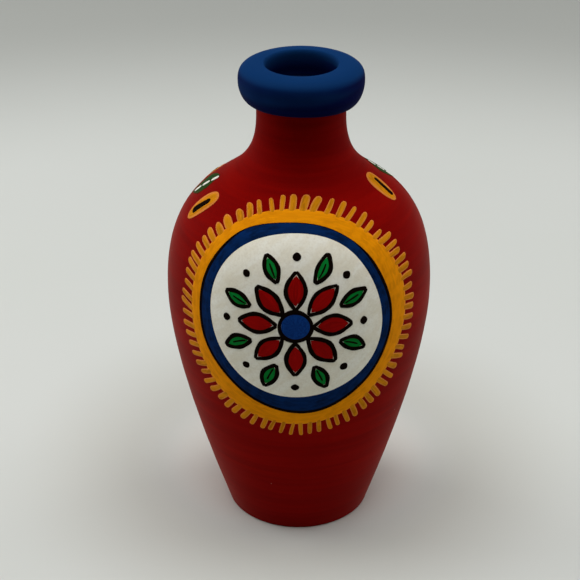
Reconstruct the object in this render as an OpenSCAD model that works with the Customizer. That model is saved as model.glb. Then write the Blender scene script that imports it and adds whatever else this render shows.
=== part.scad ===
// Hand-painted terracotta bud vase: a thrown clay body, a rolled clay ring luted to its neck,
// and the paint films that were brushed on one over the other.
// The axis is Z, the foot stands on z = 0 and the painted roundel faces -Y. Sizes are in millimetres.

/* [Body] */
// Radius of the foot where the flank begins
foot_r = 23; // [18:0.5:28]
// Rounding of the foot's edge
foot_edge = 0.8; // [0.4:0.1:2]
// Outward lean of the flank where it leaves the foot, in degrees
flank_lean = 18.3; // [12:0.1:24]
// How far the flank holds that lean
flank_pull = 24; // [14:1:34]
// Widest radius of the belly
belly_r = 40.8; // [36:0.2:48]
// Height of the widest point
belly_z = 77.9; // [70:0.1:88]
// How far the belly holds its width below the widest point
belly_fall = 20; // [12:1:28]
// How far the belly holds its width above the widest point
belly_rise = 43.7; // [34:0.1:50]
// Radius of the neck
neck_r = 13.2; // [12:0.2:16]
// Height where the shoulder's curve becomes the straight neck
neck_z = 133.7; // [128:0.1:142]
// How far the shoulder's curve reaches down below the neck
neck_sweep = 27.3; // [18:0.1:34]
// Straight neck that shows below the ring
neck_len = 4.1; // [2:0.1:10]
// Thickness of the clay wall
wall_t = 2.6; // [2.4:0.1:4.4]
// Thickness of the clay floor
floor_t = 5; // [3:0.5:10]

/* [Rim ring] */
// How far the ring's underside begins outside the neck
under_out = 0.9; // [0.7:0.1:3]
// How far the ring stands out from the neck at its widest
ring_out = 5.3; // [4:0.1:8]
// Height of the ring below its widest point
ring_lower_h = 6.7; // [6.5:0.1:12]
// Height of the ring above its widest point
ring_upper_h = 5.2; // [3.5:0.1:8]
// Squareness of the ring's upper edge: 2 is round, more is squarer
ring_square = 3; // [2:0.1:4]
// Rounding of the mouth's edge
lip_r = 0.6; // [0.4:0.1:1.5]
// Depth of that rounding inside the mouth
lip_h = 1.6; // [0.5:0.1:4]
// How far the neck enters the ring
socket_d = 4; // [2:0.1:4.5]
// Thickness of the slip that lutes the ring to the neck
slip_t = 0.3; // [0.2:0.1:0.6]

/* [Paint] */
// Thickness of the red and blue coats
coat_t = 0.2; // [0.1:0.05:0.4]
// Thickness of the ornament brushed on the red coat
ornament_t = 0.2; // [0.1:0.05:0.4]
// Thickness of the lines and fills painted over an ornament
detail_t = 0.2; // [0.1:0.05:0.4]

/* [Roundel] */
// Height of the roundel's centre above the belly's widest point
roundel_up = 6; // [0:0.5:12]
// Radius of the white ground
ground_r = 26.3; // [23:0.1:27]
// Width of the blue band around the ground
blue_w = 3.6; // [2:0.1:5]
// Width of the black line around the blue band
black_w = 0.6; // [0.5:0.1:1.5]
// Width of the yellow band around the black line
yellow_w = 4.6; // [2:0.1:5]
// Length of a fringe stroke
fringe_l = 4.5; // [2:0.1:5.4]
// Width of a fringe stroke
fringe_w = 2; // [1:0.1:2.2]
// Number of fringe strokes
fringe_n = 70; // [48:1:80]

/* [Rosette] */
// Number of petals, and of leaves between them
petal_n = 8; // [5:1:9]
// Radius of the blue heart
heart_r = 4; // [3:0.1:5]
// Length of a petal
petal_l = 11.5; // [8:0.1:13]
// Width of a petal
petal_w = 6.8; // [5:0.1:7]
// How far a leaf begins inside the circle of the petals' tips
leaf_tuck = 2.7; // [1:0.1:4]
// Length of a leaf
leaf_l = 9; // [6:0.1:10]
// Width of a leaf
leaf_w = 5.2; // [4:0.1:6]
// Width of the black line around heart, petals and leaves
line_w = 1.2; // [0.8:0.1:1.4]
// Distance of a black dot's centre from the petal's tip
dot_gap = 3.8; // [2:0.1:5]
// Radius of a black dot
dot_r = 1.2; // [0.8:0.1:1.6]

/* [Shoulder ornament] */
// Turn of the left leaf from the front, in degrees
left_turn = -89.5; // [-94:0.5:-86]
// Turn of the right leaf from the front, in degrees
right_turn = 111; // [106:0.5:116]
// Drop of the left leaf's middle below the start of the neck
left_drop = 22.8; // [20:0.1:26]
// Drop of the right leaf's middle below the start of the neck
right_drop = 20.9; // [20:0.1:26]
// Lean of the left ornament, in degrees
left_lean = 18; // [0:1:24]
// Lean of the right ornament, in degrees
right_lean = 5; // [0:1:24]
// Distance of an oval from the leaf where the two stand close
oval_near = 11.3; // [10.5:0.1:12]
// Distance of an oval from the leaf where the two stand apart
oval_far = 15.7; // [14:0.1:17]
// Drop of the left ornament's rear oval below its lean
rear_drop = 6.8; // [0:0.1:8]
// Length of an oval
oval_l = 12.6; // [9:0.1:14]
// Width of an oval
oval_w = 6.6; // [5:0.1:7]
// How much an oval is wider at its upper end, as a share of its width
oval_swell = 0.16; // [0:0.02:0.3]
// Length of the black slit in an oval
slit_l = 7.4; // [4:0.1:8]
// Width of the black slit in an oval
slit_w = 2.3; // [0.8:0.1:2.6]
// How much a slit is wider at its lower end, as a share of its width
slit_swell = 0.16; // [0:0.02:0.5]
// Length of the green leaf between two ovals
blade_l = 12.4; // [12.2:0.2:15]
// Width of the green leaf between two ovals
blade_w = 9; // [7:0.1:9.4]
// Number of white dashes along the leaf
dash_n = 3; // [2:1:3]
// Length of a white dash
dash_l = 2.8; // [2:0.1:3]
// Gap between two white dashes
dash_gap = 0.8; // [0.4:0.1:1.2]
// Width of a white dash
dash_w = 1.6; // [0.8:0.1:2]

/* [Hidden] */
$fn = 120;

// Straight pieces in the flank's curve, the shoulder's curve and a quarter of a rounded edge
flank_steps = 14;
shoulder_steps = 22;
quarter_steps = 10;
// Corners of the roundel's circles, of one side of a leaf and of a stroke's round end
circle_steps = 72;
leaf_steps = 12;
end_steps = 4;

// Neck, mouth and ring heights
bore_r = neck_r - wall_t;
ring_z = neck_z + neck_len;
socket_z = ring_z + socket_d;
neck_top = socket_z - slip_t;
socket_r = neck_r + slip_t;
ring_under_r = neck_r + under_out;
ring_wide_r = neck_r + ring_out;
ring_wide_z = ring_z + ring_lower_h;
ring_top = ring_wide_z + ring_upper_h;
lip_z = ring_top - lip_h;
ring_bore_r = bore_r + coat_t;
ring_crest_r = ring_bore_r + lip_r;

// Height of the roundel's centre and radii of its bands
roundel_z = belly_z + roundel_up;
blue_r = ground_r + blue_w;
black_r = blue_r + black_w;
yellow_r = black_r + yellow_w;

// Levels of the paint above the clay
ornament_level = coat_t;
detail_level = ornament_level + ornament_t;
paint_top = detail_level + detail_t;
reach = belly_r + 2 * paint_top;

function bezier(p, t) =
    pow(1 - t, 3) * p[0] + 3 * pow(1 - t, 2) * t * p[1] + 3 * (1 - t) * t * t * p[2] + pow(t, 3) * p[3];
function bezier_way(p, t) =
    pow(1 - t, 2) * (p[1] - p[0]) + 2 * (1 - t) * t * (p[2] - p[1]) + t * t * (p[3] - p[2]);
function unit(v) = v / norm(v);
// The outward side of a curve that climbs
function outward(way) = [way[1], -way[0]];

// Flank and shoulder curves of the clay's outer face
flank_curve = [
    [foot_r, foot_edge],
    [foot_r, foot_edge] + flank_pull * [sin(flank_lean), cos(flank_lean)],
    [belly_r, belly_z - belly_fall],
    [belly_r, belly_z],
];
shoulder_curve = [
    [belly_r, belly_z],
    [belly_r, belly_z + belly_rise],
    [neck_r, neck_z - neck_sweep],
    [neck_r, neck_z],
];

// Points of that face from the foot to the ring, and the way out of it at each point
face = concat(
    [for (i = [0:flank_steps - 1]) bezier(flank_curve, i / flank_steps)],
    [for (i = [0:shoulder_steps]) bezier(shoulder_curve, i / shoulder_steps)],
    [[neck_r, ring_z]]
);
face_out = concat(
    [for (i = [0:flank_steps - 1]) unit(outward(bezier_way(flank_curve, i / flank_steps)))],
    [for (i = [0:shoulder_steps]) unit(outward(bezier_way(shoulder_curve, i / shoulder_steps)))],
    [[1, 0]]
);
function skin(level) = [for (i = [0:len(face) - 1]) face[i] + level * face_out[i]];
function reversed(list) = [for (i = [len(list) - 1:-1:0]) list[i]];

// A flat chart of the face: x runs around the vase and y up along the wall
run = [
    for (i = 0, s = 0; i < len(face); s = s + norm(face[min(i + 1, len(face) - 1)] - face[i]), i = i + 1) s
];
run_of_z = [for (i = [0:len(face) - 1]) [face[i][1], run[i]]];
r_of_run = [for (i = [0:len(face) - 1]) [run[i], face[i][0]]];
z_of_run = [for (i = [0:len(face) - 1]) [run[i], face[i][1]]];
// The chart's points as they look along the vase's radius through the point at height z
function laid(points, z) = [
    for (p = points)
        let (s = lookup(z, run_of_z) + p[1], r = lookup(s, r_of_run))
        [r * sin(p[0] / r * 180 / PI), lookup(s, z_of_run)]
];

// Outlines on the flat chart
function ring_path(r, steps = circle_steps) = [
    for (i = [0:steps - 1]) r * [cos(360 * i / steps), sin(360 * i / steps)]
];
// The swell makes the upper end wider, or the lower end if it is less than nothing
function oval_path(w, h, swell = 0) = [
    for (p = ring_path(1, 2 * leaf_steps)) [p[0] * (1 + swell * p[1]) * w / 2, p[1] * h / 2]
];
function leaf_path(l, w) = concat(
    [for (i = [0:leaf_steps]) [l * i / leaf_steps, -w / 2 * sin(180 * i / leaf_steps)]],
    [for (i = [leaf_steps - 1:-1:1]) [l * i / leaf_steps, w / 2 * sin(180 * i / leaf_steps)]]
);
function stroke_path(l, w) = concat(
    [[0, w / 2], [0, -w / 2]],
    [
        for (i = [0:end_steps])
            let (a = -90 + 180 * i / end_steps)
            [l - w / 2 + w / 2 * cos(a), w / 2 * sin(a)]
    ]
);
function moved(points, by) = [for (p = points) p + by];
function turned(points, a) = [
    for (p = points) [p[0] * cos(a) - p[1] * sin(a), p[0] * sin(a) + p[1] * cos(a)]
];
// An outline that points outward from radius r in the direction a
function spoke(points, r, a) = turned(moved(points, [r, 0]), a);

// The thin shell between two levels above the clay
module shell(low, high) {
    rotate_extrude()
        polygon(concat(skin(low), reversed(skin(high))));
}

// Paint in the outline of the children, at a turn from the front and between two levels
module film(turn, low, high) {
    intersection() {
        shell(low, high);
        rotate([90, 0, turn])
            linear_extrude(reach)
                children();
    }
}

module roundel_shape(points) {
    polygon(laid(points, roundel_z));
}

module ornament_film() {
    film(0, ornament_level, detail_level)
        children();
}

module detail_film() {
    film(0, detail_level, paint_top)
        children();
}

module band(outer_r, inner_r) {
    ornament_film()
        difference() {
            roundel_shape(ring_path(outer_r));
            roundel_shape(ring_path(inner_r));
        }
}

// Outer and filled outlines of the rosette's petals and leaves
petal_start_r = heart_r + line_w;
petal_tip_r = petal_start_r + petal_l;
leaf_start_r = petal_tip_r - leaf_tuck;
dot_ring_r = petal_tip_r + dot_gap;
tip_w = 1.5 * line_w;
function petal_turn(i) = 360 * i / petal_n;
function leaf_turn(i) = petal_turn(i + 0.5);
function filled(l, w) = moved(leaf_path(l - 2 * tip_w, w - 2 * line_w), [tip_w, 0]);

module petal_fills() {
    for (i = [0:petal_n - 1])
        roundel_shape(spoke(filled(petal_l, petal_w), petal_start_r, petal_turn(i)));
}

module leaf_fills() {
    for (i = [0:petal_n - 1])
        roundel_shape(spoke(filled(leaf_l, leaf_w), leaf_start_r, leaf_turn(i)));
}

// Turn, height and lean of the leaf on each side of the shoulder, and the drop of the oval to its left
sides = [
    [left_turn, neck_z - left_drop, left_lean, rear_drop],
    [right_turn, neck_z - right_drop, right_lean, 0],
];
dash_pitch = dash_l + dash_gap;

// Outlines painted on one shoulder, at a distance to the right of its leaf's middle and a drop below it
module on_shoulder(side, out, drop, paths, low, high) {
    s = lookup(side[1], run_of_z) - out * sin(side[2]) - drop;
    turn = side[0] + out * cos(side[2]) / lookup(s, r_of_run) * 180 / PI;
    film(turn, low, high)
        for (path = paths)
            polygon(laid(turned(path, -side[2]), lookup(s, z_of_run)));
}

module beside_leaves(path, low, high) {
    for (side = sides) {
        on_shoulder(side, -oval_far, side[3], [path], low, high);
        on_shoulder(side, oval_near, 0, [path], low, high);
    }
}

module on_leaves(paths, low, high) {
    for (side = sides)
        on_shoulder(side, 0, 0, paths, low, high);
}

// Clay body thrown in one piece: floor, flank, belly, shoulder and neck
module vessel_body() {
    foot_round = [
        for (i = [0:quarter_steps])
            let (a = 90 * i / quarter_steps)
            [foot_r - foot_edge, foot_edge] + foot_edge * [sin(a), -cos(a)]
    ];
    inner_face = skin(-wall_t);
    floor_r = lookup(floor_t, [for (p = inner_face) [p[1], p[0]]]);
    inside = concat([[0, floor_t], [floor_r, floor_t]], [for (p = inner_face) if (p[1] > floor_t) p]);
    color("#b5654a")
        rotate_extrude()
            polygon(concat(
                [[0, 0]], foot_round, [for (i = [1:len(face) - 1]) face[i]],
                [[neck_r, neck_top], [bore_r, neck_top]], reversed(inside)
            ));
}

// A sine or cosine bent outward, so that the quarter circle it draws becomes squarer
function squared(share) = pow(max(share, 0), 2 / ring_square);
// Section of the ring's rounded outside and lip, raised by a paint level
function ring_round(level) = concat(
    [
        for (i = [0:quarter_steps])
            let (a = 90 * i / quarter_steps)
            [ring_under_r, ring_wide_z]
                + [(ring_wide_r - ring_under_r + level) * sin(a), -(ring_lower_h + level) * cos(a)]
    ],
    [
        for (i = [1:quarter_steps])
            let (a = 90 * i / quarter_steps)
            [ring_crest_r, ring_wide_z]
                + [(ring_wide_r - ring_crest_r + level) * squared(cos(a)), (ring_upper_h + level) * squared(sin(a))]
    ],
    [
        for (i = [1:quarter_steps])
            let (a = 90 * i / quarter_steps)
            [ring_crest_r, lip_z] + [-(lip_r + level) * sin(a), (lip_h + level) * cos(a)]
    ]
);

// Rolled clay ring with a socket that sits over the neck
module rim_ring() {
    color("#b5654a")
        rotate_extrude()
            polygon(concat(
                [[socket_r, ring_z]], ring_round(0),
                [[ring_bore_r, socket_z], [socket_r, socket_z]]
            ));
}

// Fired slip that fills the joint between neck and ring
module rim_slip() {
    color("#a0553d")
        rotate_extrude()
            polygon([
                [neck_r, ring_z], [socket_r, ring_z], [socket_r, socket_z],
                [bore_r, socket_z], [bore_r, neck_top], [neck_r, neck_top]
            ]);
}

// Red coat from the foot to the ring
module red_coat() {
    color("#a3120f")
        shell(0, coat_t);
}

// Blue coat over the ring and down into the mouth
module rim_coat() {
    color("#14479b")
        rotate_extrude()
            polygon(concat(
                [[neck_r + coat_t, ring_z - coat_t]], ring_round(coat_t), [[bore_r, socket_z]],
                [[ring_bore_r, socket_z]], reversed(ring_round(0)), [[neck_r + coat_t, ring_z]]
            ));
}

// White disc on the front of the belly
module roundel_ground() {
    color("#dedccf")
        ornament_film()
            roundel_shape(ring_path(ground_r));
}

// Blue band around the white disc
module roundel_blue_band() {
    color("#153d86")
        band(blue_r, ground_r);
}

// Black line around the blue band
module roundel_black_line() {
    color("#0b0b0d")
        band(black_r, blue_r);
}

// Yellow band around the black line
module roundel_yellow_band() {
    color("#e29a16")
        band(yellow_r, black_r);
}

// Short yellow strokes that stand out from the yellow band all round
module roundel_fringe() {
    stroke = stroke_path(fringe_l + fringe_w, fringe_w);
    color("#d18f22")
        ornament_film()
            difference() {
                for (i = [0:fringe_n - 1])
                    roundel_shape(spoke(stroke, yellow_r - fringe_w, 360 * i / fringe_n));
                roundel_shape(ring_path(yellow_r));
            }
}

// Red fills of the petals
module rosette_petals() {
    color("#a3120f")
        detail_film()
            petal_fills();
}

// Green fills of the leaves between the petals
module rosette_leaves() {
    color("#128a3c")
        detail_film()
            leaf_fills();
}

// Blue heart of the rosette
module rosette_heart() {
    color("#1c4aa5")
        detail_film()
            roundel_shape(ring_path(heart_r));
}

// Black lines around the heart, petals and leaves, and the dots beyond the petals
module rosette_linework() {
    color("#0b0b0d")
        detail_film()
            difference() {
                union() {
                    roundel_shape(ring_path(heart_r + line_w));
                    for (i = [0:petal_n - 1]) {
                        roundel_shape(spoke(leaf_path(petal_l, petal_w), petal_start_r, petal_turn(i)));
                        roundel_shape(spoke(leaf_path(leaf_l, leaf_w), leaf_start_r, leaf_turn(i)));
                        roundel_shape(spoke(oval_path(2 * dot_r, 2 * dot_r), dot_ring_r, petal_turn(i)));
                    }
                }
                roundel_shape(ring_path(heart_r));
                petal_fills();
                leaf_fills();
            }
}

// Yellow ovals on both sides of each shoulder leaf
module shoulder_ovals() {
    color("#d99a1f")
        beside_leaves(oval_path(oval_w, oval_l, oval_swell), ornament_level, detail_level);
}

// Black slits along the ovals
module oval_slits() {
    color("#0b0b0d")
        beside_leaves(oval_path(slit_w, slit_l, -slit_swell), detail_level, paint_top);
}

// Green leaf on each side of the shoulder
module shoulder_leaves() {
    blade = moved(turned(leaf_path(blade_l, blade_w), 90), [0, -blade_l / 2]);
    color("#128a3c")
        on_leaves([blade], ornament_level, detail_level);
}

// White dashes along the middle of each shoulder leaf
module leaf_dashes() {
    dash = oval_path(dash_w, dash_l);
    color("#dedccf")
        on_leaves(
            [for (i = [0:dash_n - 1]) moved(dash, [0, (i - (dash_n - 1) / 2) * dash_pitch])],
            detail_level, paint_top
        );
}

vessel_body();
rim_ring();
rim_slip();
red_coat();
rim_coat();
roundel_ground();
roundel_blue_band();
roundel_black_line();
roundel_yellow_band();
roundel_fringe();
rosette_petals();
rosette_leaves();
rosette_heart();
rosette_linework();
shoulder_ovals();
oval_slits();
shoulder_leaves();
leaf_dashes();
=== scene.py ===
import math
import random

import bmesh
import bpy
import numpy as np
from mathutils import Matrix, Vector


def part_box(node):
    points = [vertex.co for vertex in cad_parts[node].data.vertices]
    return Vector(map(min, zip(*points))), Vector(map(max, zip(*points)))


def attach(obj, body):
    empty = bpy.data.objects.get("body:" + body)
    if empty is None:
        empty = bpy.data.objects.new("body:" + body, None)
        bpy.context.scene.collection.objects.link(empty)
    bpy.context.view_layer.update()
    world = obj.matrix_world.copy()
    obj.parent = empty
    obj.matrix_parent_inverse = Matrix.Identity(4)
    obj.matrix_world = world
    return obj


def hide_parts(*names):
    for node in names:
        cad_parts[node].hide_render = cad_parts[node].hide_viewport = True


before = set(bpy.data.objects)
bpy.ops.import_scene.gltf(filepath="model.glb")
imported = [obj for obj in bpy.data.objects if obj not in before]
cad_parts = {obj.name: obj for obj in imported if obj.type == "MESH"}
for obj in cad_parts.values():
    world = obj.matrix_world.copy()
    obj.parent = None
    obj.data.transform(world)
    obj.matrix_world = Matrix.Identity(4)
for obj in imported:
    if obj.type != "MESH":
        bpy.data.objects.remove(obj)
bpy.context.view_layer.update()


# The thrown body: floor, flank, belly, shoulder and neck in one wall of terracotta.
# It was thrown on a wheel, cut off with a wire and fired. The inside keeps the finger
# rings, the underside keeps the arcs of the wire, and the neck leans a little.
mm = 0.001
clay_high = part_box("vessel_body")[1] / mm
foot_r = 23.0
foot_edge = 0.8
foot_rest = 2.0
foot_hollow = 0.5
flank_lean = math.radians(18.3)
flank_pull = 24.0
belly_r = clay_high.x
belly_z = 77.9
belly_fall = 20.0
belly_rise = 43.7
neck_r = 13.2
neck_z = 133.7
neck_sweep = 27.3
neck_top = clay_high.z
neck_shift = 0.55
lean_from = 84.0
lean_to = 128.0
wall_t = 2.6
floor_t = 5.0
floor_round = 1.0
floor_swirl = 0.15
finger_depth = 0.22
finger_pitch = 5.5
finger_fade_h = 12.0
turns_n = 192
rows_mm = 1.2
join_within = 1e-7
crease = math.radians(50)


def bezier(corners, steps=240):
    """Points along a cubic curve."""
    t = np.linspace(0, 1, steps)[:, None]
    a, b, c, d = np.array(corners)
    return (1 - t) ** 3 * a + 3 * (1 - t) ** 2 * t * b + 3 * (1 - t) * t ** 2 * c + t ** 3 * d


def run_length(path):
    """How far each point of a path is from its start, along it."""
    return np.concatenate([[0], np.cumsum(np.linalg.norm(np.diff(path, axis=0), axis=1))])


def stacked(*parts):
    """Coordinates, as arrays or single numbers, joined into points."""
    return np.stack(np.broadcast_arrays(*parts), axis=-1)


flank = bezier([
    (foot_r, foot_edge),
    (foot_r + flank_pull * math.sin(flank_lean), foot_edge + flank_pull * math.cos(flank_lean)),
    (belly_r, belly_z - belly_fall),
    (belly_r, belly_z),
])
shoulder = bezier([
    (belly_r, belly_z),
    (belly_r, belly_z + belly_rise),
    (neck_r, neck_z - neck_sweep),
    (neck_r, neck_z),
])
neck = [(neck_r, z) for z in np.linspace(neck_z, neck_top, 30)]
wall = np.vstack([flank, shoulder[1:], neck[1:]])
way_up = run_length(wall)
climb = np.gradient(wall, way_up, axis=0)
climb /= np.linalg.norm(climb, axis=1, keepdims=True)


def radius_at(s):
    """The wall's radius that far up its outside."""
    return np.interp(s, way_up, wall[:, 0])


def way_to(z):
    """How far up the wall's outside a height is."""
    return np.interp(z, wall[:, 1], way_up)


def off_wall(s, lift):
    """Radius and height of the point that far up the wall's outside and that far out of it."""
    r = radius_at(s) + lift * np.interp(s, way_up, climb[:, 1])
    z = np.interp(s, way_up, wall[:, 1]) - lift * np.interp(s, way_up, climb[:, 0])
    return r, z


def around(turn, r, z):
    """The place in metres at a turn from the front, a radius and a height. The axis leans at the neck."""
    rise = np.clip((z - lean_from) / (lean_to - lean_from), 0, 1)
    x = r * np.sin(turn) + neck_shift * rise ** 2 * (3 - 2 * rise)
    return stacked(x, -r * np.cos(turn), z) * mm


def grid_faces(rows, columns, wrap_rows, wrap_columns):
    """The four-sided faces of a grid of points, listed row by row."""
    return [
        (i * columns + j, (i + 1) % rows * columns + j,
         (i + 1) % rows * columns + (j + 1) % columns, i * columns + (j + 1) % columns)
        for i in range(rows if wrap_rows else rows - 1)
        for j in range(columns if wrap_columns else columns - 1)
    ]


def tidy_mesh(mesh):
    """Joins the points that lie together, drops what has no face and turns every face outward."""
    shape = bmesh.new()
    shape.from_mesh(mesh)
    bmesh.ops.remove_doubles(shape, verts=shape.verts, dist=join_within)
    loose = [edge for edge in shape.edges if not edge.link_faces]
    bmesh.ops.delete(shape, geom=loose, context="EDGES")
    bmesh.ops.recalc_face_normals(shape, faces=shape.faces)
    for face in shape.faces:
        face.smooth = True
    shape.to_mesh(mesh)
    shape.free()


def new_piece(name, points, faces):
    """An object of the scene from its points and faces."""
    mesh = bpy.data.meshes.new(name)
    mesh.from_pydata(points, [], faces)
    piece = bpy.data.objects.new(name, mesh)
    bpy.context.collection.objects.link(piece)
    return piece


all_turns = np.linspace(0, 2 * math.pi, turns_n, endpoint=False)[:, None]


def turned_piece(name, r, z, closed):
    """An outline of radii and heights turned on the wheel. An open one begins and ends on the axis."""
    points = around(all_turns, r, z)
    piece = new_piece(name, points.reshape(-1, 3), grid_faces(turns_n, points.shape[1], True, closed))
    tidy_mesh(piece.data)
    piece.data.set_sharp_from_angle(angle=crease)
    return piece


def quarter(steps=8):
    """Angles from 0 to a right angle."""
    return np.linspace(0, math.pi / 2, steps)


def on_every_turn(*stretches):
    """Stretches of an outline joined, the same or different from turn to turn."""
    spread = [np.broadcast_to(part, (turns_n, np.shape(part)[-1])) for part in stretches]
    return np.concatenate(spread, axis=1)


wall_rows = np.linspace(0, way_up[-1], int(way_up[-1] / rows_mm))
outer_r, outer_z = off_wall(wall_rows, 0)
inner_rows = wall_rows[off_wall(wall_rows, -wall_t)[1] > floor_t][::-1]
finger = np.sin(2 * math.pi * inner_rows / finger_pitch + all_turns)
finger_fade = np.clip((neck_z - off_wall(inner_rows, 0)[1]) / finger_fade_h, 0, 1)
inner_r, inner_z = off_wall(inner_rows, -wall_t + finger_depth * finger * finger_fade)
under_r = np.linspace(0, foot_r - foot_edge - foot_rest, 16)
under_z = foot_hollow * (1 - (under_r / under_r[-1]) ** 2)
round_r = foot_r - foot_edge + foot_edge * np.sin(quarter())
round_z = foot_edge - foot_edge * np.cos(quarter())
bed_r = np.linspace(inner_r[0, -1] - floor_round, 0, 14)
bed_z = floor_t + floor_swirl * np.sin(2 * math.pi * bed_r / finger_pitch)
thrown_body = turned_piece(
    "thrown_body",
    on_every_turn(under_r, round_r, outer_r[1:], inner_r, bed_r),
    on_every_turn(under_z, round_z, outer_z[1:], inner_z, bed_z),
    closed=False,
)


class Wire:
    """A socket of a material that takes part in Python expressions. Each operator adds its Math node."""

    def __init__(self, tree, socket=None):
        self.tree = tree
        self.socket = socket

    def add(self, kind, settings, sockets, output=0):
        """Any other node, from its type, its settings, and the values or links of its sockets."""
        node = self.tree.nodes.new("ShaderNode" + kind)
        for name, value in settings.items():
            setattr(node, name, value)
        for name, value in sockets.items():
            if isinstance(value, Wire):
                self.tree.links.new(value.socket, node.inputs[name])
            else:
                node.inputs[name].default_value = value
        return Wire(self.tree, node.outputs[output] if node.outputs else None)

    def math(self, operation, *values):
        """A Math node of the values."""
        return self.add("Math", {"operation": operation}, dict(enumerate(values)))

    def __add__(self, other):
        return self.math("ADD", self, other)

    def __sub__(self, other):
        return self.math("SUBTRACT", self, other)

    def __rsub__(self, other):
        return self.math("SUBTRACT", other, self)

    def __mul__(self, other):
        return self.math("MULTIPLY", self, other)

    __radd__ = __add__

    def between(self, low, high):
        """0 below the low value, 1 above the high one, and smooth between them."""
        return self.add("MapRange", {"interpolation_type": "SMOOTHSTEP"}, {0: self, 1: low, 2: high})

    def mixed(self, first, second):
        """The first colour where this is 0, and the second where it is 1."""
        return self.add("Mix", {"data_type": "RGBA"}, {0: self, 6: first, 7: second}, output=2)

    def moved(self, x, y, z):
        """These coordinates plus three numbers."""
        return self.add("VectorMath", {"operation": "ADD"}, {0: self, 1: (x, y, z)})

    def stretched(self, x, y, z):
        """These coordinates times three numbers."""
        return self.add("VectorMath", {"operation": "MULTIPLY"}, {0: self, 1: (x, y, z)})

    def from_axis(self):
        """The distance of these coordinates from the vase's axis."""
        flat = self.stretched(1.0, 1.0, 0.0)
        return flat.add("VectorMath", {"operation": "LENGTH"}, {0: flat}, output=1)

    def noise(self, scale, detail=3.0):
        """Soft noise at these coordinates."""
        return self.add("TexNoise", {}, {"Vector": self, "Scale": scale, "Detail": detail})


def ink(code):
    """The linear colour of a six-digit code."""
    parts = [int(code[i:i + 2], 16) / 255 for i in (0, 2, 4)]
    return [p / 12.92 if p <= 0.04045 else ((p + 0.055) / 1.055) ** 2.4 for p in parts] + [1.0]


def new_finish(name):
    """A new material, a wire to add its nodes with, and the piece's own coordinates in metres."""
    material = bpy.data.materials.new(name)
    material.use_nodes = True
    material.node_tree.nodes.clear()
    start = Wire(material.node_tree)
    return material, start, start.add("TexCoord", {}, {}, output=3)


sheen_spread = 0.31
sheen_tint = (1.0, 0.88, 0.74, 1.0)


def surface(start, colour, roughness, relief, depth, gloss, sheen=0.0):
    """Joins colour, roughness and relief in one surface. The relief's depth is in millimetres."""
    bump = start.add("Bump", {}, {"Height": relief, "Distance": depth * mm, "Strength": 1.0})
    shader = start.add("BsdfPrincipled", {}, {
        "Base Color": colour, "Roughness": roughness, "Normal": bump, "Specular IOR Level": gloss,
        "Sheen Weight": sheen, "Sheen Roughness": sheen_spread, "Sheen Tint": sheen_tint,
    })
    start.add("OutputMaterial", {}, {"Surface": shader})


throat_paint = "0a2450"
throat_paint_z = 129.0
smear_ragged = 4.0
smear_fade = 1.2
wire_centre = (0.06, 0.03, 0.0)


def fired_clay(name, body, pale, dark, paint_from, arcs):
    """Terracotta with grog, a smear of paint near the mouth, and the wire's arcs under the foot."""
    material, start, place = new_finish(name)
    height = start.add("SeparateXYZ", {}, {0: place}, output=2)
    cloud = place.noise(90.0)
    grog = place.noise(1400.0, 2.0)
    grain = place.noise(3200.0, 2.0)
    flecks = place.noise(700.0, 1.0)
    colour = cloud.between(0.35, 0.7).mixed(ink(body), ink(dark))
    colour = grog.between(0.58, 0.72).mixed(colour, ink(pale))
    colour = flecks.between(0.68, 0.74).mixed(colour, ink(dark))
    ragged = height + place.noise(260.0) * (smear_ragged * mm)
    smear = ragged.between(paint_from * mm, (paint_from + smear_fade) * mm)
    colour = smear.mixed(colour, ink(throat_paint))
    sweep = start.add("TexWave", {"wave_type": "RINGS", "rings_direction": "Z"}, {
        "Vector": place.moved(*wire_centre), "Scale": 95.0, "Distortion": 1.5, "Detail": 2.0,
    }, output=1)
    under = 1 - height.between(0.6 * mm, 1.2 * mm)
    relief = grain * 0.4 + grog * 0.5 + sweep * under * arcs
    surface(start, colour, 0.82 + grain * 0.14, relief, depth=0.12, gloss=0.25)
    return material


thrown_clay = fired_clay("terracotta", "b5694b", "cf8f6c", "93503a", throat_paint_z, arcs=1.2)
thrown_body.data.materials.append(thrown_clay)
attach(thrown_body, "root")
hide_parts("vessel_body")


# The rolled ring: a thick coil of the same clay, rounded with a wet sponge.
# It sits over the neck in a socket on its underside and makes the rim of the mouth.
ring_low, ring_high = (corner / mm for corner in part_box("rim_ring"))
coat_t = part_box("rim_coat")[1].z / mm - ring_high.z
ring_z = ring_low.z
ring_flat = 0.9
ring_under_r = neck_r + ring_flat
ring_wide_r = ring_high.x
ring_lower_h = 6.7
ring_wide_z = ring_z + ring_lower_h
ring_upper_h = ring_high.z - ring_wide_z
ring_square = 3.0
bore_r = neck_r - wall_t
ring_bore_r = bore_r + coat_t
lip_r = 0.6
lip_h = 1.6
ring_crest_r = ring_bore_r + lip_r
lip_z = ring_high.z - lip_h
slip_t = 0.3
socket_r = neck_r + slip_t
socket_z = neck_top + slip_t
front_drop = 0.85
under_sag = 0.6
sag_turn = math.radians(75)
under_lift = 0.6


def ring_section(level, steps=16):
    """The ring's outside from its underside over the flat top into the mouth, raised by a paint level."""
    under = quarter(steps)
    over = quarter(2 * steps)[1:]
    lip = quarter(steps)[1:]
    square = 2 / ring_square
    r = [ring_under_r + (ring_wide_r - ring_under_r + level) * np.sin(under),
         ring_crest_r + (ring_wide_r - ring_crest_r + level) * np.cos(over) ** square,
         ring_crest_r - (lip_r + level) * np.sin(lip)]
    z = [ring_wide_z - (ring_lower_h + level) * np.cos(under),
         ring_wide_z + (ring_upper_h + level) * np.sin(over) ** square,
         lip_z + (lip_h + level) * np.cos(lip)]
    return np.concatenate(r), np.concatenate(z)


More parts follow.
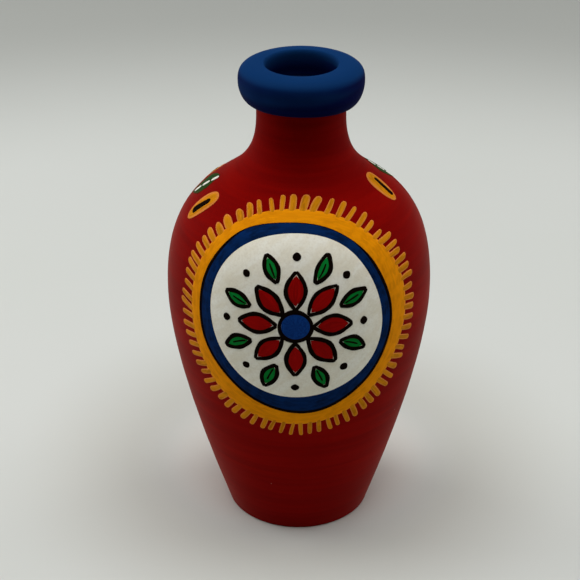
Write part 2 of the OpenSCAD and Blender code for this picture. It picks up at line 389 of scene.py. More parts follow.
def hand_rolled(z):
    """Heights on the ring at every turn. Its top is pressed down at the front, and its underside
    is pushed up there and sags on the right."""
    top = np.clip((z - socket_z) / (ring_high.z - socket_z), 0, 1)
    under = np.clip((ring_wide_z - z) / ring_lower_h, 0, 1)
    front = np.cos(all_turns)
    drop = front_drop * (1 + front) / 2
    sag = under_sag * (1 + np.cos(all_turns - sag_turn)) / 2 - under_lift * np.clip(front, 0, 1) ** 2
    return z - top * drop - under * sag


clay_ring_r, clay_ring_z = ring_section(0)
rolled_ring = turned_piece(
    "rolled_ring",
    on_every_turn([socket_r], clay_ring_r, [ring_bore_r, socket_r]),
    on_every_turn([ring_z], hand_rolled(clay_ring_z), [socket_z, socket_z]),
    closed=True,
)
sponged_clay = fired_clay("sponged_terracotta", "b0644a", "c98a69", "8f4e38", ring_z, arcs=0.0)
rolled_ring.data.materials.append(sponged_clay)
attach(rolled_ring, "root")
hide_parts("rim_ring")


# The slip: clay let down with water, brushed into the joint between neck and ring.
# It fired together with them and fills the joint, so only its two thin edges could ever show.
paint_creep = (0.8, 1.2)
joint_slip = turned_piece(
    "joint_slip",
    np.array([neck_r, socket_r, socket_r, bore_r, bore_r, neck_r]),
    np.array([ring_z, ring_z, socket_z, socket_z, neck_top, neck_top]),
    closed=True,
)


def fired_slip():
    """Fine dark slip, smoother than the thrown clay, with the rim's paint on what shows in the mouth."""
    material, start, place = new_finish("fired_slip")
    cloud = place.noise(420.0)
    grain = place.noise(3600.0, 2.0)
    colour = cloud.mixed(ink("8f4a35"), ink("a5583f"))
    bare = place.from_axis().between(*((bore_r + creep) * mm for creep in paint_creep))
    colour = bare.mixed(ink(throat_paint), colour)
    surface(start, colour, 0.75 + grain * 0.2, grain, depth=0.04, gloss=0.3)
    return material


joint_slip.data.materials.append(fired_slip())
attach(joint_slip, "root")
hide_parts("rim_slip")


# The red coat: matt paint brushed around the vase while it turned on a banding wheel.
# It covers the whole outside from the foot's rounded edge up to the ring. A little slack
# keeps the rippled film within the coat's thickness.
ripple_n = 9
ripple_size = 0.012
ripple_pitch = (4, 16)
ripple_slants = (-2, -1, 1, 2)
any_phase = (0, 6.3)
coat_slack = 0.02
coat_thin = 0.03
hem_low = 0.02
hem_gap = 0.01
# Painted highlight: how the pale top tone fades in, how far it reaches below its height and how far out
# from the lip.
painted_light_fade = 2.0
painted_light_below = 2.5
painted_light_edge = 0.8
paint_gloss = 0.012
paint_sheen = 0.097


def brush_ripple(turn, s, seed):
    """The low ridges that a wide brush leaves as it goes around, in millimetres."""
    draw = random.Random(seed)
    height = 0
    for _ in range(ripple_n):
        pitch = draw.uniform(*ripple_pitch)
        slant = draw.choice(ripple_slants)
        height = height + np.cos(slant * turn + 2 * math.pi * s / pitch + draw.uniform(*any_phase))
    return ripple_size * height / ripple_n ** 0.5


coat_rows = np.linspace(0, way_to(ring_z), int(way_up[-1] / rows_mm))
coat_lift = coat_t - coat_slack + brush_ripple(all_turns, coat_rows, seed=5)
coat_r, coat_z = off_wall(coat_rows, coat_lift)
under_coat_r, under_coat_z = off_wall(coat_rows[::-1], 0)
hem_lean = quarter(7)[:-1]
hem_t = coat_thin + (coat_t - coat_thin) * np.sin(hem_lean) ** 2
hem_r = foot_r - foot_edge + (foot_edge + hem_t) * np.sin(hem_lean)
hem_z = np.maximum(foot_edge - (foot_edge + hem_t) * np.cos(hem_lean), hem_low)
red_coat = turned_piece(
    "red_coat_film",
    on_every_turn(hem_r, coat_r, under_coat_r, round_r[::-1][1:]),
    on_every_turn(hem_z, coat_z, under_coat_z, round_z[::-1][1:] + hem_gap),
    closed=True,
)


def banded_paint(name, body, deep, pale, speck, speck_share, painted_light_from, painted_light_within, sheen):
    """Matt paint brushed around the vase: streaks that run around it, soft clouds, dust, and a pale tone
    painted on as light above a height and within a distance from the axis, a painted highlight on the
    ring's top and the lip of its mouth."""
    material, start, place = new_finish(name)
    height = start.add("SeparateXYZ", {}, {0: place}, output=2)
    away = place.from_axis()
    streak = place.stretched(28.0, 28.0, 620.0).noise(1.0, 4.0)
    broad = place.stretched(16.0, 16.0, 110.0).noise(1.0, 2.0)
    cloud = place.noise(45.0)
    tooth = place.noise(2400.0, 2.0)
    colour = streak.between(0.3, 0.75).mixed(ink(deep), ink(body))
    colour = (broad.between(0.45, 0.75) * 0.6).mixed(colour, ink(pale))
    colour = (cloud.between(0.5, 0.75) * 0.4).mixed(colour, ink(deep))
    # Painted highlight: the pale tone above a height and inside the lip's radius stands in for light
    # falling on the top of the ring.
    painted_light_full = (painted_light_from + painted_light_fade) * mm
    above = (height + broad * mm).between(painted_light_from * mm, painted_light_full)
    within = 1 - away.between((painted_light_within - painted_light_edge) * mm, painted_light_within * mm)
    within = within * height.between((painted_light_from - painted_light_below) * mm, painted_light_full)
    colour = (start.math("MAXIMUM", above, within) * 0.85).mixed(colour, ink(pale))
    cells = start.add("TexVoronoi", {}, {"Vector": place, "Scale": 260.0})
    pick = start.add("TexVoronoi", {}, {"Vector": place, "Scale": 260.0}, output=1)
    chosen = start.add("SeparateColor", {}, {0: pick}).between(1 - speck_share, 1.001 - speck_share)
    dust = (1 - cells.between(0.03, 0.07)) * chosen
    colour = (dust * 0.6).mixed(colour, ink(speck))
    roughness = 0.56 + streak * 0.12 + tooth * 0.08
    surface(start, colour, roughness, streak * 0.6 + tooth * 0.4, 0.05, paint_gloss, sheen)
    return material


# The painted highlight starts at the ring's top, so none of it falls on the red coat.
red_paint = banded_paint(
    "red_paint", "840300", "770100", "910803", speck="b98a80", speck_share=0.04,
    painted_light_from=ring_high.z, painted_light_within=0.0, sheen=paint_sheen,
)
red_coat.data.materials.append(red_paint)
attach(red_coat, "root")
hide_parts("red_coat")


# The blue rim coat: the same kind of paint, brushed over the ring and down into the mouth.
# Its lower edge is cut in against the red just under the ring. Its colours hold painted light and shade:
# the pale tone on the flat top and the lip is a painted highlight, and the body tone is darkened to paint
# the shade on the ring's sides and front.
rim_run = 40.0
rim_ripple_share = 0.5
rim_painted_light_h = 3.2
rim_hem_out = np.array([-0.06, 0.08, 0.14])
rim_hem_down = np.array([0.12, 0.08, 0.0])
rim_r, rim_z = ring_section(coat_t)
rim_way = np.linspace(0, rim_run, len(rim_r))
rim_ripple = rim_ripple_share * brush_ripple(all_turns, rim_way, seed=8)
rim_hem_r = neck_r + coat_t
rim_hem_z = hand_rolled(ring_z - coat_t)
rim_coat = turned_piece(
    "rim_coat_film",
    on_every_turn(rim_hem_r + rim_hem_out, rim_r + rim_ripple - coat_slack / 2,
                  [bore_r + coat_slack, ring_bore_r], clay_ring_r[::-1], rim_hem_r + rim_hem_out[:1]),
    on_every_turn(rim_hem_z - rim_hem_down, hand_rolled(rim_z + rim_ripple - coat_slack),
                  [socket_z, socket_z], hand_rolled(clay_ring_z[::-1]), [ring_z]),
    closed=True,
)
# Painted light and shade: a dark body tone for the shaded sides and front, a pale tone for the lit top
# and lip.
rim_paint = banded_paint(
    "blue_rim_paint", "020a3e", "020834", "0b3260", speck="b9c2c8", speck_share=0.1,
    painted_light_from=ring_high.z - rim_painted_light_h, painted_light_within=ring_crest_r, sheen=0.0,
)
rim_coat.data.materials.append(rim_paint)
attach(rim_coat, "root")
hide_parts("rim_coat")


# The white disc: the ground of the roundel, brushed on the dry red coat in short strokes.
# All the roundel's paint is laid out on a flat chart of the wall and then wrapped onto it.
roundel_rise = 6.0
roundel_way = way_to(belly_z + roundel_rise)
ground_r = 26.3
ground_tuck = 0.5
film_sink = 0.06
film_edge = 0.55
film_round = 6
ring_steps = 160
ring_brush_r = 30.0


class PaintFilm:
    """Paint laid on the vase in closed patches that together make one piece, from a low level
    to a high one above the red coat."""

    def __init__(self, low, high):
        self.low = coat_t + low
        self.high = coat_t + high
        self.turn = 0.0
        self.way = roundel_way
        self.points = []
        self.faces = []
        self.brush = []
        self.edge = []

    def at(self, place):
        """Moves the chart's middle to another place, for the patches that follow."""
        self.turn = place["turn"]
        self.way = place["way"]
        return self

    def on_wall(self, x, y, lift):
        """A point of the chart on the vase: x runs around the wall and y up along it."""
        s = self.way + y
        return around(self.turn + x / radius_at(s), *off_wall(s, lift))

    def lay(self, x, y, edge, brush, wrap=False):
        """One patch: a grid of chart points, how near its border each is, and the brush's own
        coordinates there, which keep the streaks of one stroke apart from those of the next."""
        thick = self.high - self.low
        top = self.on_wall(x, y, self.low + thick * (1 - film_edge * edge ** film_round))
        base = self.on_wall(x, y, self.low - film_sink)
        brush = stacked(*brush)
        rows, columns = x.shape
        start = sum(len(part) for part in self.points)
        self.points.append(np.concatenate([top, base[:, ::-1]], axis=1).reshape(-1, 3))
        self.brush.append(np.concatenate([brush, brush[:, ::-1]], axis=1).reshape(-1, 3))
        self.edge.append(np.concatenate([edge, edge[:, ::-1]], axis=1).reshape(-1))
        self.faces += [
            tuple(start + corner for corner in face)
            for face in grid_faces(rows, 2 * columns, wrap, True)
        ]

    def piece(self, name, material, node, slot):
        """Makes the patches one piece that stands for a node."""
        made = new_piece(name, np.concatenate(self.points), self.faces)
        brush = made.data.attributes.new("brush", "FLOAT_VECTOR", "POINT")
        brush.data.foreach_set("vector", np.concatenate(self.brush).astype(np.float32).reshape(-1))
        edge = made.data.attributes.new("edge", "FLOAT", "POINT")
        edge.data.foreach_set("value", np.concatenate(self.edge).astype(np.float32))
        tidy_mesh(made.data)
        made.data.materials.append(material)
        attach(made, "root")
        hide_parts(node)


def drawn_radius(r, angle, slips):
    """A circle drawn by hand. A slip is a size and the angle of its peak, in the order off centre,
    oval, three-sided, square and so on."""
    return r + sum(
        size * np.cos(sides * (angle - math.radians(peak)))
        for sides, (size, peak) in enumerate(slips, start=1)
    )


def across_stroke(columns):
    """Places across a stroke, from -1 to 1, closer together at its borders."""
    return np.sin(np.linspace(-math.pi / 2, math.pi / 2, columns))[None, :]


def lay_ring(film, outer, columns, inner=None):
    """A disc of paint out to a radius that may change around it, or a ring from an inner radius."""
    angle = np.linspace(0, 2 * math.pi, ring_steps, endpoint=False)[:, None]
    if inner is None:
        edge = np.sin(quarter(columns))[None, :]
        r = outer(angle) * edge
    else:
        across = across_stroke(columns)
        edge = abs(across)
        r = inner(angle) + (outer(angle) - inner(angle)) * ((across + 1) / 2)
    c, s = np.cos(angle), np.sin(angle)
    brush = (ring_brush_r * c, ring_brush_r * s, r)
    film.lay(r * c, r * s, np.broadcast_to(edge, r.shape), brush, wrap=True)


def ground_edge(angle):
    """The joint of the white disc with the blue band."""
    return drawn_radius(ground_r, angle, [(1.0, 93), (0.68, -29), (0.41, -26), (0.32, -17)])


white_film = PaintFilm(low=0.0, high=0.10)
lay_ring(white_film, lambda angle: ground_edge(angle) + ground_tuck, columns=30)


def chalk_white():
    """Flat white in slanting brush marks, with thin places and a little grime."""
    material, start, place = new_finish("white_paint")
    slant = start.add("VectorRotate", {"rotation_type": "Y_AXIS"}, {
        "Vector": place, "Angle": math.radians(40),
    })
    marks = slant.stretched(60.0, 240.0, 420.0).noise(1.0, 4.0)
    cloud = place.noise(160.0)
    tooth = place.noise(1800.0, 3.0)
    patch = place.noise(900.0, 2.0)
    colour = marks.between(0.3, 0.7).mixed(ink("f6f0dc"), ink("fffdf0"))
    colour = (cloud.between(0.5, 0.75) * 0.45).mixed(colour, ink("ece5cf"))
    colour = (patch.between(0.4, 0.7) * 0.25).mixed(colour, ink("e8e0ca"))
    colour = (tooth.between(0.4, 0.75) * 0.15).mixed(colour, ink("d4cbb5"))
    relief = marks * 0.7 + tooth * 0.3
    surface(start, colour, 0.62 + marks * 0.15, relief, depth=0.06, gloss=0.12)
    return material


white_film.piece("white_disc", chalk_white(), "roundel_ground", "white_paint")


# The blue band: one turn of a medium brush around the white disc, a little over its edge.
# The paint is lighter than the rim's blue, and its streaks follow the band.
blue_r = 30.48
thin_fade = 0.33


def blue_edge(angle):
    """The joint of the blue band with the yellow one, with a slight waver of the hand."""
    drawn = drawn_radius(blue_r, angle, [(0.56, 200), (0.75, -42), (0.14, -27), (0.51, 2)])
    return drawn + 0.12 * np.cos(5 * angle + 1) + 0.1 * np.cos(9 * angle)


def stroke_paint(name, body, deep, dry, patchy, thin, thin_share, thin_from=0.72, shine=1.0):
    """Paint from a loaded brush: streaks along the stroke, patches where the brush was dry,
    some strokes with a fuller load than others, and a border where the paint is thin."""
    material, start, place = new_finish(name)
    brush = start.add("Attribute", {"attribute_name": "brush"}, {}, output=1)
    edge = start.add("Attribute", {"attribute_name": "edge"}, {}, output=2)
    streak = brush.stretched(0.16, 0.16, 2.2).noise(1.0, 4.0)
    cloud = place.noise(150.0)
    patch = brush.stretched(0.35, 0.35, 0.9).noise(1.0, 3.0)
    load = brush.stretched(0.0, 0.31, 0.0).noise(1.0, 0.0)
    tooth = place.noise(2600.0, 2.0)
    colour = streak.between(0.32, 0.7).mixed(ink(deep), ink(body))
    colour = (cloud.between(0.5, 0.75) * 0.5).mixed(colour, ink(deep))
    colour = (patch.between(0.45, 0.62) * patchy).mixed(colour, ink(dry))
    colour = (load.between(0.5, 0.62) * patchy).mixed(colour, ink(body))
    border = (edge + (streak - 0.5) * 0.5).between(thin_from, thin_from + thin_fade)
    colour = (border * thin_share).mixed(colour, ink(thin))
    relief = streak * 0.7 + tooth * 0.3
    surface(start, colour, 0.52 + streak * 0.16, relief, 0.06, shine * paint_gloss, shine * paint_sheen)
    return material


blue_film = PaintFilm(low=0.0, high=0.16)
lay_ring(blue_film, blue_edge, columns=9, inner=ground_edge)
blue_paint = stroke_paint(
    "blue_paint", "05295c", "041f48", "03142f", patchy=0.6, thin="0c3a76", thin_share=0.2
)
blue_film.piece("blue_band", blue_paint, "roundel_blue_band", "blue_paint")


# The black line: a thin brush line on the joint between the blue band and the yellow one.
# It thins to a hair at the top, where the brush ran dry.
black_w = 1.1
black_loss = 0.95
dry_reach = 2.2


def near(angle, middle, spread):
    """1 at an angle in degrees, and less and less on both sides of it."""
    off = (np.degrees(angle) - middle + 180) % 360 - 180
    return np.exp(-(off / spread) ** 2)


def black_inner(angle):
    """The black line's inner edge."""
    width = black_w - black_loss * np.clip(dry_reach * near(angle, 87, 36), 0, 1)
    return blue_edge(angle) - width


black_film = PaintFilm(low=0.0, high=0.24)
lay_ring(black_film, blue_edge, columns=6, inner=black_inner)
black_paint = stroke_paint(
    "black_paint", "140b06", "0d0704", "0d0704", patchy=0.0, thin="221309", thin_share=0.35, shine=0.2
)
black_film.piece("black_line", black_paint, "roundel_black_line", "black_paint")


# The yellow band: an ochre yellow over the red coat, brushed on in two turns.
# The yellow is thin, so its streaks run from gold to a brownish orange.
yellow_r = 35.1
yellow_tuck = 0.25


def yellow_edge(angle):
    """The yellow band's outer edge."""
    return drawn_radius(yellow_r, angle, [(0.83, -78), (0.26, 0), (0.57, -11), (0.58, 1), (0.35, 13)])


yellow_film = PaintFilm(low=0.0, high=0.15)
lay_ring(yellow_film, yellow_edge, columns=9, inner=lambda angle: blue_edge(angle) - yellow_tuck)
yellow_paint = stroke_paint(
    "yellow_paint", "f59805", "e68d03", "d27c03", patchy=0.5, thin="e6841a", thin_share=0.45
)
yellow_film.piece("yellow_band", yellow_paint, "roundel_yellow_band", "yellow_paint")


# The fringe: short strokes of the same yellow, set one by one around the band.
# Each starts on the band and ends in a round drop where the brush was lifted. Their
# spacing, width and lean change around the roundel, and each has slips of its own.
fringe_n = 70
fringe_root = 1.2
fringe_tip_r = 39.6
place_slip = (0.41, 0.59)
length_slip = 0.35
width_slip = (0.88, 1.12)
taper_slip = (-0.4, 0.2)
lean_slip = 0.06
bow_slip = 0.12
load_step = 7.3
stroke_step = 11.7


def tip_radius(angle):
    """How far out the strokes reach."""
    return drawn_radius(
        fringe_tip_r, angle, [(1.12, -83), (0.44, -7), (0.74, -24), (1.0, -1), (0.46, 13)]
    )


def swelling(angle, base, *bumps):
    """A value with bumps around the roundel, each with a size, and its middle and spread in degrees."""
    return sum((size * near(angle, middle, spread) for size, middle, spread in bumps), base)


def fringe_pitch(angle):
    """The distance from stroke to stroke, before all are made to fit."""
    return swelling(
        angle, 3.2, (1.2, 67, 13), (1.2, 46, 9), (1.9, 127, 14), (0.2, 97, 12), (-0.4, 275, 25)
    )


def fringe_width(angle):
    """How broad the strokes are."""
    return swelling(angle, 1.86, (0.35, 86, 8), (1.45, 130, 13), (-0.6, 103, 8), (-0.65, 272, 24))


def fringe_lean(angle):
    """How far the strokes turn aside, as a share of their length."""
    return swelling(angle, -0.12, (-0.25, 40, 28), (-0.1, 112, 14), (0.14, 143, 14))


def on_ray(along, across, angle):
    """The point along and beside a ray that leaves the middle at an angle."""
    c, s = math.cos(angle), math.sin(angle)
    return along * c - across * s, along * s + across * c


def lay_stroke(film, path, half, number, columns=7):
    """A brush stroke along a path of chart points, with its half width at each point."""
    way = np.gradient(path, axis=0)
    way /= np.linalg.norm(way, axis=1, keepdims=True)
    across = across_stroke(columns)
    width = half[:, None] * across
    x = path[:, :1] - way[:, 1:] * width
    y = path[:, 1:] + way[:, :1] * width
    along = run_length(path)[:, None]
    ends = 1 - np.clip(np.minimum(along, along[-1] - along) / max(half), 0, 1)
    edge = np.maximum(abs(across), ends)
    film.lay(x, y, edge, (along, load_step * number, width + stroke_step * number))


def round_ends(length, width, steps=15):
    """Distances along a stroke, close together at its ends, and the half widths that round them off."""
    along = length * (1 - np.cos(np.linspace(0, math.pi, steps))) / 2
    to_end = np.clip(np.minimum(along, length - along) / (width / 2), 0, 1)
    return along, width / 2 * np.sqrt(1 - (1 - to_end) ** 2)


fringe_film = PaintFilm(low=0.0, high=0.13)
fringe_draw = random.Random(21)
fine_turn = np.linspace(0, 2 * math.pi, 721)
strokes_so_far = np.cumsum(1 / fringe_pitch(fine_turn))
strokes_so_far -= strokes_so_far[0]
strokes_so_far = strokes_so_far / strokes_so_far[-1] * fringe_n
for number in range(fringe_n):
    angle = np.interp(number + fringe_draw.uniform(*place_slip), strokes_so_far, fine_turn)
    root = yellow_edge(angle) - fringe_root
    length = tip_radius(angle) - root + fringe_draw.gauss(0, length_slip)
    along, half = round_ends(length, fringe_width(angle) * fringe_draw.uniform(*width_slip))
    share = along / length
    swell = 0.92 + 0.12 * np.sin(math.pi * share)
    taper = 1 - fringe_draw.uniform(*taper_slip) * (share - 0.5)
    lean = fringe_lean(angle) + fringe_draw.gauss(0, lean_slip)
    bow = fringe_draw.gauss(0, bow_slip)
    side = lean * (along - length / 2) + bow * np.sin(math.pi * along / length)
    path = stacked(*on_ray(root + along, side, angle))
    lay_stroke(fringe_film, path, half * swell * taper, number)
fringe_paint = stroke_paint(
    "fringe_paint", "dc8c0e", "c27a08", "a86606",
    patchy=0.6, thin="e08544", thin_share=0.7, thin_from=0.54,
)
fringe_film.piece("fringe_strokes", fringe_paint, "roundel_fringe", "yellow_paint")


# The rosette's petals: eight red fills on the white disc, each filled in with two or three
# dabs of a small brush before the black line went around it.
petal_n = 8
petal_start = 5.2
petal_l = 11.5
petal_w = 6.8
line_w = 1.2
fill_inset = 0.7 * line_w
dab_load_step = 5.1
dab_step = 9.3
dab_w = 2.5
rosette_draw = random.Random(34)


def drawn_leaves(start, length, width, first):
    """Leaf shapes around the centre, each with its own small slips of the hand."""
    return [
        {
            "start": start + rosette_draw.gauss(0, 0.12),
            "length": length * rosette_draw.uniform(0.97, 1.03),
            "width": width * rosette_draw.uniform(0.95, 1.05),
            "angle": 2 * math.pi * (i + first) / petal_n + rosette_draw.gauss(0, 0.012),
            "bend": rosette_draw.gauss(0, 0.25),
        }
        for i in range(petal_n)
    ]


def leaf_side(leaf, share, side):
    """The chart point at a share of the leaf's length, from one edge (-1) to the other (1)."""
    bulge = np.sin(math.pi * share)
    across = side * leaf["width"] / 2 * bulge + leaf["bend"] * bulge
    return on_ray(leaf["start"] + leaf["length"] * share, across, leaf["angle"])


def lay_leaf(film, leaf, number):
    """The fill of a leaf shape, kept inside its black line."""
    length = leaf["length"]
    local = np.linspace(0, 1, 19)[:, None]
    share = line_w / length + (1 - 2 * line_w / length) * local
    across = across_stroke(9)
    narrow = 1 - 2 * fill_inset / leaf["width"]
    reach = narrow * np.sin(math.pi * local) / np.sin(math.pi * share)
    x, y = leaf_side(leaf, share, across * reach)
    edge = np.maximum(abs(across), abs(2 * local - 1) ** 3)
    film.lay(x, y, edge, (length * share, dab_load_step * number, across * dab_w + dab_step * number))


petals = drawn_leaves(petal_start, petal_l, petal_w, first=0)
petal_film = PaintFilm(low=0.08, high=0.20)
for number, petal in enumerate(petals):
    lay_leaf(petal_film, petal, number)
petal_paint = stroke_paint(
    "petal_paint", "a60a08", "8e0706", "840605", patchy=0.4, thin="b01a12", thin_share=0.3
)
petal_film.piece("red_petals", petal_paint, "rosette_petals", "red_paint")


# The rosette's leaves: eight green fills in the gaps between the petals,
# brushed on in the same way.
leaf_start = 14.0
leaf_l = 9.0
leaf_w = 5.2
leaves = drawn_leaves(leaf_start, leaf_l, leaf_w, first=0.5)
leaf_film = PaintFilm(low=0.08, high=0.20)
for number, leaf in enumerate(leaves):
    lay_leaf(leaf_film, leaf, number)
green_paint = stroke_paint(
    "green_paint", "0a8a36", "08702a", "066424", patchy=0.4, thin="2c9a4c", thin_share=0.3
)
leaf_film.piece("green_leaves", green_paint, "rosette_leaves", "green_paint")


# The rosette's heart: one blue dab in the middle, turned with the brush.
# Its uneven edge runs in under the black line that goes around it.
heart_r = 4.0
heart_tuck = 0.2
heart_film = PaintFilm(low=0.08, high=0.21)
lay_ring(heart_film, lambda angle: heart_r + heart_tuck + 0.12 * np.cos(3 * angle), columns=8)
heart_paint = stroke_paint(
    "heart_paint", "12408c", "0d3375", "0a2a62", patchy=0.4, thin="184e9e", thin_share=0.3
)
heart_film.piece("blue_heart", heart_paint, "rosette_heart", "blue_paint")


# The rosette's linework: black lines drawn last with a fine brush around heart, petals and
# leaves, two strokes to a shape, with a dot beyond each petal and a vein in each leaf.
# The second stroke lands and leaves a little inside the ends of the first.
dot_ring_r = 20.5
dot_r = 1.2
vein_w = 0.45 * line_w
vein_from = 0.2
vein_to = 0.68
second_landing = 0.006
first_vein = 40
first_dot = 50
line_film = PaintFilm(low=0.08, high=0.30)
lay_ring(
    line_film,
    lambda angle: heart_r + line_w + 0.15 * np.cos(3 * angle + 1),
    columns=6,
    inner=lambda angle: heart_r + 0.12 * np.cos(2 * angle),
)


def line_along(points, width, number):
    """A fine black line through chart points, thinner where the brush lands and leaves."""
    points = stacked(*points)
    reach = run_length(points)
    along, half = round_ends(reach[-1], width, 21)
    path = stacked(*(np.interp(along, reach, points[:, k]) for k in (0, 1)))
    swell = 0.86 + 0.2 * np.sin(math.pi * along / reach[-1])
    tremble = 0.08 * np.sin(along * 1.7 + number)
    lay_stroke(line_film, path, half * (swell + tremble), number)


for number, leaf in enumerate(petals + leaves):
    for side in (-1, 1):
        inset = 1 - line_w / leaf["width"]
        landing = second_landing if side == 1 else 0.0
        points = leaf_side(leaf, np.linspace(landing, 1 - landing, 60), side * inset)
        line_along(points, line_w * rosette_draw.uniform(0.9, 1.1), 2 * number + side)
for number, leaf in enumerate(leaves):
    line_along(leaf_side(leaf, np.linspace(vein_from, vein_to, 20), 0.0), vein_w, first_vein + number)
for number, petal in enumerate(petals):
    reach = dot_ring_r + rosette_draw.gauss(0, 0.15)
    size = 2 * dot_r * rosette_draw.uniform(0.88, 1.05)
    points = on_ray(reach + np.linspace(-0.5, 0.5, 20) * size, 0.0, petal["angle"])
    line_along(points, size * 0.98, first_dot + number)
line_film.piece("black_linework", black_paint, "rosette_linework", "black_paint")


# The shoulder ovals: an egg of yellow on each side of the two shoulder leaves,
# brushed on the red coat with the fringe's yellow. All of an ornament leans the same way,
# and each oval has its own slips of the hand.
oval_l = 12.6
oval_w = 6.6
oval_near = 11.3
oval_far = 15.7
oval_round = 2.2
oval_load_step = 13.0
shoulders = [
    {"turn": -89.5, "below": 22.8, "lean": 18, "drop": 6.8, "shift": -0.9, "rise": -0.8, "dash": 0.0},
    {"turn": 111, "below": 20.9, "lean": 5, "drop": 0.0, "shift": -0.1, "rise": 0.3, "dash": -0.7},
]
for leaf in shoulders:
    leaf["turn"] = math.radians(leaf["turn"])
    leaf["lean"] = math.radians(leaf["lean"])
    leaf["way"] = way_to(neck_z - leaf["below"])


def beside(leaf, out):
    """The place at a distance from the middle of a shoulder's leaf, around the vase and up or down
    with its lean."""
    way = leaf["way"] - out * math.sin(leaf["lean"]) - (leaf["drop"] if out < 0 else 0)
    turn = leaf["turn"] + out * math.cos(leaf["lean"]) / radius_at(way)
    return {"turn": turn, "way": way, "lean": leaf["lean"]}


def leaned(place, across, along):
    """A point beside and along the middle line of a leaning shape, on the chart around its place."""
    c, s = math.cos(place["lean"]), math.sin(place["lean"])
    return across * c + along * s, along * c - across * s


ovals = [beside(leaf, out) for leaf in shoulders for out in (-oval_far, oval_near)]
oval_slips = [
    {"swell": 0.10, "along": -1.6, "length": 0.95, "out": 1.1, "lean": 0.0},
    {"swell": 0.18, "along": 0.0, "length": 1.0, "out": 0.5, "lean": 0.10},
    {"swell": 0.14, "along": -0.4, "length": 0.93, "out": 0.0, "lean": 0.03},
    {"swell": 0.10, "along": 0.0, "length": 1.0, "out": 0.0, "lean": 0.0},
]
oval_film = PaintFilm(low=0.0, high=0.10)
for number, (oval, slip) in enumerate(zip(ovals, oval_slips)):
    oval["turn"] += slip["out"] / radius_at(oval["way"])
    oval["lean"] += slip["lean"]
    along = -np.cos(np.linspace(0, math.pi, 25))[:, None]
    across = across_stroke(9)
    half = oval_w / 2 * (1 - abs(along) ** oval_round) ** (1 / oval_round) * (1 + slip["swell"] * along)
    x, y = leaned(oval, half * across, slip["along"] + slip["length"] * oval_l / 2 * along)
    edge = np.maximum(abs(across), abs(along) ** 3)
    oval_film.at(oval).lay(x, y, edge, (oval_l / 2 * along, oval_load_step * number, half * across))
oval_film.piece("yellow_ovals", fringe_paint, "shoulder_ovals", "yellow_paint")


# The slits: one black stroke along the middle of each oval, heavy where the brush landed
# and fine where it left. The hand slipped a little from oval to oval.
slit_heavy = 1.1
slit_fade = 0.3
slits = [
    {"across": -0.3, "along": -1.9, "length": 7.2, "width": 2.2, "lean": 0.03},
    {"across": 0.0, "along": -0.2, "length": 7.3, "width": 2.4, "lean": 0.09},
    {"across": 0.9, "along": -0.9, "length": 7.6, "width": 1.7, "lean": 0.0},
    {"across": 0.2, "along": -0.3, "length": 7.0, "width": 2.2, "lean": -0.05},
]
slit_film = PaintFilm(low=0.08, high=0.24)
for number, (oval, slit) in enumerate(zip(ovals, slits)):
    along, half = round_ends(slit["length"], slit["width"], 17)
    share = along / slit["length"]
    line = along - slit["length"] / 2
    path = stacked(*leaned(oval, slit["across"] + slit["lean"] * line, slit["along"] + line))
    lay_stroke(slit_film.at(oval), path, half * (slit_heavy - slit_fade * share), number)
slit_film.piece("black_slits", black_paint, "oval_slits", "black_paint")


# The shoulder leaves: one dark green leaf on each shoulder, between its two ovals,
# filled in with a coarse brush that left unsteady edges.
blade_l = 12.0
blade_w = 9.6
blade_load_step = 17.0
blade_draw = random.Random(55)
blade_film = PaintFilm(low=0.0, high=0.13)
for number, leaf in enumerate(shoulders):
    share = (1 - np.cos(np.linspace(0, math.pi, 41)))[:, None] / 2
    across = across_stroke(11)
    phase = blade_draw.uniform(*any_phase)
    slow = 0.03 * np.sin(17 * share + phase + across)
    quick = 0.02 * np.sin(43 * share + 2 * phase - 2 * across)
    half = blade_w / 2 * np.sin(math.pi * share) * (0.98 + (slow + quick))
    x, y = leaned(leaf, half * across + leaf["shift"], blade_l * (share - 0.5) + leaf["rise"])
    edge = np.maximum(abs(across), abs(2 * share - 1) ** 4)
    blade_film.at(leaf).lay(x, y, edge, (blade_l * share, blade_load_step * number, half * across))
dark_green_paint = stroke_paint(
    "dark_green_paint", "174416", "103610", "3a3414", patchy=0.5, thin="5a2c18", thin_share=0.6
)
blade_film.piece("shoulder_leaf_fills", dark_green_paint, "shoulder_leaves", "green_paint")


# The dashes: three white strokes along the middle of each shoulder leaf,
# put on with a fine brush when the green was dry.
dash_l = 3.0
dash_w = 1.4
dash_pitch = 3.6
dash_film = PaintFilm(low=0.08, high=0.24)
for leaf in shoulders:
    for number in (-1, 0, 1):
        along, half = round_ends(dash_l, dash_w, 13)
        path = stacked(*leaned(leaf, leaf["dash"], along - dash_l / 2 + number * dash_pitch))
        lay_stroke(dash_film.at(leaf), path, half, number)
dash_paint = stroke_paint(
    "dash_paint", "f6f4ec", "ebe7da", "e4dfd0", patchy=0.3, thin="d5cbb9", thin_share=0.3
)
dash_film.piece("white_dashes", dash_paint, "leaf_dashes", "white_paint")


# The studio: a pale floor with painted shade and light around the vase, one large soft lamp overhead,
# two weak ones at the sides, and a camera that looks down on the vase from the front. All lengths here
# are in metres.
floor_reach = 4.0
far_painted_shade = (0.30, 0.56)
floor_fade = (0.64, 1.2)
front_painted_shade = (0.12, 0.38)
painted_pool_shift = 0.02
painted_light_core = (0.034, 0.05)
painted_shadow_from = (0.036, 0.06)
painted_shadow_to = (0.055, 0.11)
backdrop_tone = "d0d3ce"
backdrop_strength = 0.9
floor_corners = [(x * floor_reach, y * floor_reach, 0) for x, y in ((-1, -1), (1, -1), (1, 1), (-1, 1))]
studio_floor = new_piece("studio_floor", floor_corners, [(0, 1, 2, 3)])


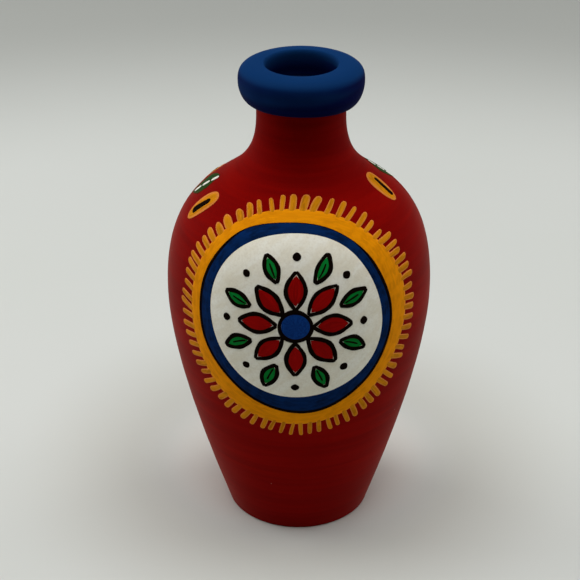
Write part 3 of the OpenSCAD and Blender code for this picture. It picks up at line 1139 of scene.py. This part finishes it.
def pale_floor():
    """Plain pale board with hardly any grain. A painted pool of light lightens it right around the foot,
    a painted shadow ring darkens it a little farther out, and painted shade makes it greyer farther off.
    Far off it fades into the backdrop. In front it is painted dark for every ray but the camera's,
    a hidden dark sheet that stands in for the shade on that side."""
    material, start, place = new_finish("pale_floor")
    cloud = place.noise(9.0)
    away = place.from_axis()
    seen = start.add("LightPath", {}, {}, output="Is Camera Ray")
    colour = cloud.mixed(ink("d1d4ce"), ink("d5d7d3"))
    # Painted shade: the floor is greyer farther from the vase.
    colour = away.between(*far_painted_shade).mixed(colour, ink("b2b4af"))
    # Painted shadow: a darker ring around the vase, centred a little behind its axis.
    pool = place.moved(0.0, -painted_pool_shift, 0.0).from_axis()
    shade = pool.between(*painted_shadow_from) * (1 - pool.between(*painted_shadow_to))
    colour = shade.mixed(colour, ink("c8c9c2"))
    # Painted light: a lighter pool right around the foot.
    colour = (1 - pool.between(*painted_light_core)).mixed(colour, ink("dddcd5"))
    # Painted shade: the floor in front is dark for all but camera rays, a hidden dark sheet that keeps
    # bounce light off the vase's front.
    front = start.add("SeparateXYZ", {}, {0: place}, output=1) * -1.0
    colour = (front.between(*front_painted_shade) * (1 - seen)).mixed(colour, ink("5e605c"))
    board = start.add("BsdfPrincipled", {}, {
        "Base Color": colour, "Roughness": 0.7 + cloud * 0.1, "Specular IOR Level": 0.2,
    })
    haze = start.add("Emission", {}, {"Color": ink(backdrop_tone), "Strength": backdrop_strength})
    fade = seen * away.between(*floor_fade)
    start.add("OutputMaterial", {}, {"Surface": start.add("MixShader", {}, {0: fade, 1: board, 2: haze})})
    return material


studio_floor.data.materials.append(pale_floor())


def soft_lamp(name, place, target, size, power):
    """A square lamp that faces a point."""
    lamp = bpy.data.objects.new(name, bpy.data.lights.new(name, "AREA"))
    lamp.data.size = size
    lamp.data.energy = power
    lamp.location = place
    aim = lamp.location - type(lamp.location)(target)
    lamp.rotation_euler = aim.to_track_quat("Z", "Y").to_euler()
    bpy.context.collection.objects.link(lamp)


vase_middle = (0, 0, 0.07)
soft_lamp("overhead_sheet", (0, -0.10, 1.25), (0, -0.10, 0), size=1.2, power=15.0)
soft_lamp("left_lamp", (-1.05, 0.35, 0.50), vase_middle, size=0.8, power=6.3)
soft_lamp("right_lamp", (1.05, 0.35, 0.42), vase_middle, size=0.8, power=4.0)

world = bpy.data.worlds.new("studio_air")
bpy.context.scene.world = world
world.use_nodes = True
world.node_tree.nodes.clear()
air = Wire(world.node_tree)
rays = ("Is Camera Ray", "Is Glossy Ray", "Is Transmission Ray")
sight = sum(air.add("LightPath", {}, {}, output=kind) for kind in rays)
backdrop = air.add("Background", {}, {"Color": ink(backdrop_tone), "Strength": backdrop_strength})
ambient = air.add("Background", {}, {"Color": ink("e6ebef"), "Strength": 0.01})
air.add("OutputWorld", {}, {"Surface": air.add("MixShader", {}, {0: sight, 1: ambient, 2: backdrop})})

view_turn = math.radians(1.7)
view_pitch = math.radians(27.278)
view_x, view_y, view_z = -2.77 * mm, -403.99 * mm, 283.17 * mm
camera = bpy.data.objects.new("front_camera", bpy.data.cameras.new("front_camera"))
camera.data.sensor_width = 36.0
camera.data.lens = 89.59
camera.data.clip_start = 0.01
camera.location = (*on_ray(view_x, view_y, view_turn), view_z)
camera.rotation_euler = (math.pi / 2 - view_pitch, 0, view_turn)
bpy.context.collection.objects.link(camera)
bpy.context.scene.camera = camera
bpy.context.scene.view_settings.view_transform = "Standard"
